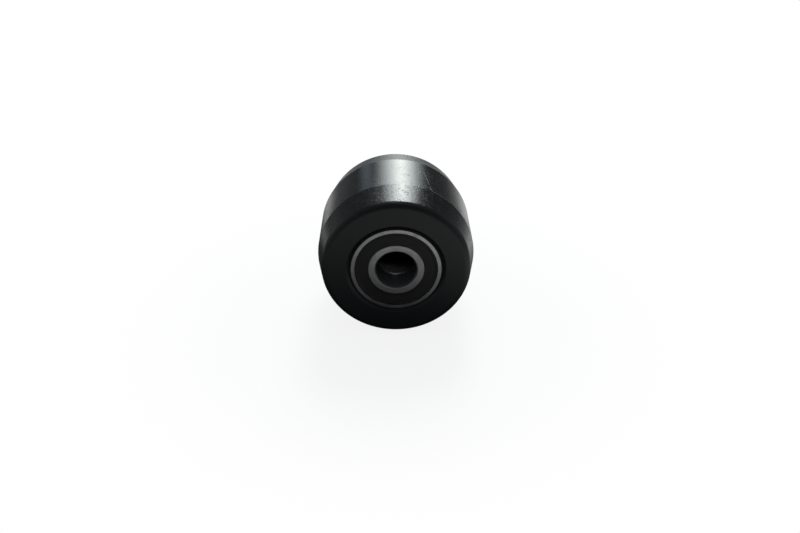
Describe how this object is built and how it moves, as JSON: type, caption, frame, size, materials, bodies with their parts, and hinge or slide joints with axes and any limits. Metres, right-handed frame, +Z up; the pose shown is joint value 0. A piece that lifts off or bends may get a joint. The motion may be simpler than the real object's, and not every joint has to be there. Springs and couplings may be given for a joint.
{
  "type": "load wheel",
  "caption": "Solid black barrel-edged load wheel for a stacker's fork, turning on sealed ball bearings pressed into its ends.",
  "frame": {"origin": "centre of the wheel, on the axle's line midway between its two end faces", "axes": "+Y along the axle from the front bearing to the rear one, +Z up, +X to the right seen from the front"},
  "size_m": [0.08, 0.062, 0.08],
  "materials": {
    "moulded_polymer": "black moulded polymer, glossy and scuffed on the tread, satin on the end faces",
    "bearing_steel": "ground bearing steel",
    "seal_rubber": "matt black moulded rubber",
    "cage_steel": "pressed sheet steel",
    "polished_steel": "polished steel balls"
  },
  "bodies": {
    "axle_rings": {"front_inner_race": "bearing_steel", "rear_inner_race": "bearing_steel"},
    "wheel": {"wheel_body": "moulded_polymer", "front_outer_race": "bearing_steel", "front_outboard_seal": "seal_rubber", "front_inboard_seal": "seal_rubber", "rear_outer_race": "bearing_steel", "rear_outboard_seal": "seal_rubber", "rear_inboard_seal": "seal_rubber"},
    "front_cage": {"front_outboard_cage_half": "cage_steel", "front_inboard_cage_half": "cage_steel", "front_cage_rivets": "cage_steel"},
    "front_ball_1": {"front_ball_1": "polished_steel"},
    "front_ball_2": {"front_ball_2": "polished_steel"},
    "front_ball_3": {"front_ball_3": "polished_steel"},
    "front_ball_4": {"front_ball_4": "polished_steel"},
    "front_ball_5": {"front_ball_5": "polished_steel"},
    "front_ball_6": {"front_ball_6": "polished_steel"},
    "front_ball_7": {"front_ball_7": "polished_steel"},
    "front_ball_8": {"front_ball_8": "polished_steel"},
    "rear_cage": {"rear_outboard_cage_half": "cage_steel", "rear_inboard_cage_half": "cage_steel", "rear_cage_rivets": "cage_steel"},
    "rear_ball_1": {"rear_ball_1": "polished_steel"},
    "rear_ball_2": {"rear_ball_2": "polished_steel"},
    "rear_ball_3": {"rear_ball_3": "polished_steel"},
    "rear_ball_4": {"rear_ball_4": "polished_steel"},
    "rear_ball_5": {"rear_ball_5": "polished_steel"},
    "rear_ball_6": {"rear_ball_6": "polished_steel"},
    "rear_ball_7": {"rear_ball_7": "polished_steel"},
    "rear_ball_8": {"rear_ball_8": "polished_steel"}
  },
  "joints": [
    {"name": "wheel_spin", "type": "hinge", "parent": "axle_rings", "child": "wheel", "pos_m": [0, 0, 0], "axis": [0, 1, 0], "continuous": true},
    {"name": "front_cage_orbit", "type": "hinge", "parent": "axle_rings", "child": "front_cage", "pos_m": [0, -0.0233, 0], "axis": [0, 1, 0], "continuous": true},
    {"name": "front_ball_1_roll", "type": "hinge", "parent": "front_cage", "child": "front_ball_1", "pos_m": [0.01675, -0.0233, 0], "axis": [0, 1, 0], "continuous": true},
    {"name": "front_ball_2_roll", "type": "hinge", "parent": "front_cage", "child": "front_ball_2", "pos_m": [0.01184, -0.0233, 0.01184], "axis": [0, 1, 0], "continuous": true},
    {"name": "front_ball_3_roll", "type": "hinge", "parent": "front_cage", "child": "front_ball_3", "pos_m": [0, -0.0233, 0.01675], "axis": [0, 1, 0], "continuous": true},
    {"name": "front_ball_4_roll", "type": "hinge", "parent": "front_cage", "child": "front_ball_4", "pos_m": [-0.01184, -0.0233, 0.01184], "axis": [0, 1, 0], "continuous": true},
    {"name": "front_ball_5_roll", "type": "hinge", "parent": "front_cage", "child": "front_ball_5", "pos_m": [-0.01675, -0.0233, 0], "axis": [0, 1, 0], "continuous": true},
    {"name": "front_ball_6_roll", "type": "hinge", "parent": "front_cage", "child": "front_ball_6", "pos_m": [-0.01184, -0.0233, -0.01184], "axis": [0, 1, 0], "continuous": true},
    {"name": "front_ball_7_roll", "type": "hinge", "parent": "front_cage", "child": "front_ball_7", "pos_m": [0, -0.0233, -0.01675], "axis": [0, 1, 0], "continuous": true},
    {"name": "front_ball_8_roll", "type": "hinge", "parent": "front_cage", "child": "front_ball_8", "pos_m": [0.01184, -0.0233, -0.01184], "axis": [0, 1, 0], "continuous": true},
    {"name": "rear_cage_orbit", "type": "hinge", "parent": "axle_rings", "child": "rear_cage", "pos_m": [0, 0.0233, 0], "axis": [0, 1, 0], "continuous": true},
    {"name": "rear_ball_1_roll", "type": "hinge", "parent": "rear_cage", "child": "rear_ball_1", "pos_m": [0.01675, 0.0233, 0], "axis": [0, 1, 0], "continuous": true},
    {"name": "rear_ball_2_roll", "type": "hinge", "parent": "rear_cage", "child": "rear_ball_2", "pos_m": [0.01184, 0.0233, 0.01184], "axis": [0, 1, 0], "continuous": true},
    {"name": "rear_ball_3_roll", "type": "hinge", "parent": "rear_cage", "child": "rear_ball_3", "pos_m": [0, 0.0233, 0.01675], "axis": [0, 1, 0], "continuous": true},
    {"name": "rear_ball_4_roll", "type": "hinge", "parent": "rear_cage", "child": "rear_ball_4", "pos_m": [-0.01184, 0.0233, 0.01184], "axis": [0, 1, 0], "continuous": true},
    {"name": "rear_ball_5_roll", "type": "hinge", "parent": "rear_cage", "child": "rear_ball_5", "pos_m": [-0.01675, 0.0233, 0], "axis": [0, 1, 0], "continuous": true},
    {"name": "rear_ball_6_roll", "type": "hinge", "parent": "rear_cage", "child": "rear_ball_6", "pos_m": [-0.01184, 0.0233, -0.01184], "axis": [0, 1, 0], "continuous": true},
    {"name": "rear_ball_7_roll", "type": "hinge", "parent": "rear_cage", "child": "rear_ball_7", "pos_m": [0, 0.0233, -0.01675], "axis": [0, 1, 0], "continuous": true},
    {"name": "rear_ball_8_roll", "type": "hinge", "parent": "rear_cage", "child": "rear_ball_8", "pos_m": [0.01184, 0.0233, -0.01184], "axis": [0, 1, 0], "continuous": true}
  ],
  "couplings": [
    {"joint": "front_cage_orbit", "follows": "wheel_spin", "ratio": 0.61851},
    {"joint": "front_ball_1_roll", "follows": "wheel_spin", "ratio": 1.9911},
    {"joint": "front_ball_2_roll", "follows": "wheel_spin", "ratio": 1.9911},
    {"joint": "front_ball_3_roll", "follows": "wheel_spin", "ratio": 1.9911},
    {"joint": "front_ball_4_roll", "follows": "wheel_spin", "ratio": 1.9911},
    {"joint": "front_ball_5_roll", "follows": "wheel_spin", "ratio": 1.9911},
    {"joint": "front_ball_6_roll", "follows": "wheel_spin", "ratio": 1.9911},
    {"joint": "front_ball_7_roll", "follows": "wheel_spin", "ratio": 1.9911},
    {"joint": "front_ball_8_roll", "follows": "wheel_spin", "ratio": 1.9911},
    {"joint": "rear_cage_orbit", "follows": "wheel_spin", "ratio": 0.61851},
    {"joint": "rear_ball_1_roll", "follows": "wheel_spin", "ratio": 1.9911},
    {"joint": "rear_ball_2_roll", "follows": "wheel_spin", "ratio": 1.9911},
    {"joint": "rear_ball_3_roll", "follows": "wheel_spin", "ratio": 1.9911},
    {"joint": "rear_ball_4_roll", "follows": "wheel_spin", "ratio": 1.9911},
    {"joint": "rear_ball_5_roll", "follows": "wheel_spin", "ratio": 1.9911},
    {"joint": "rear_ball_6_roll", "follows": "wheel_spin", "ratio": 1.9911},
    {"joint": "rear_ball_7_roll", "follows": "wheel_spin", "ratio": 1.9911},
    {"joint": "rear_ball_8_roll", "follows": "wheel_spin", "ratio": 1.9911}
  ]
}
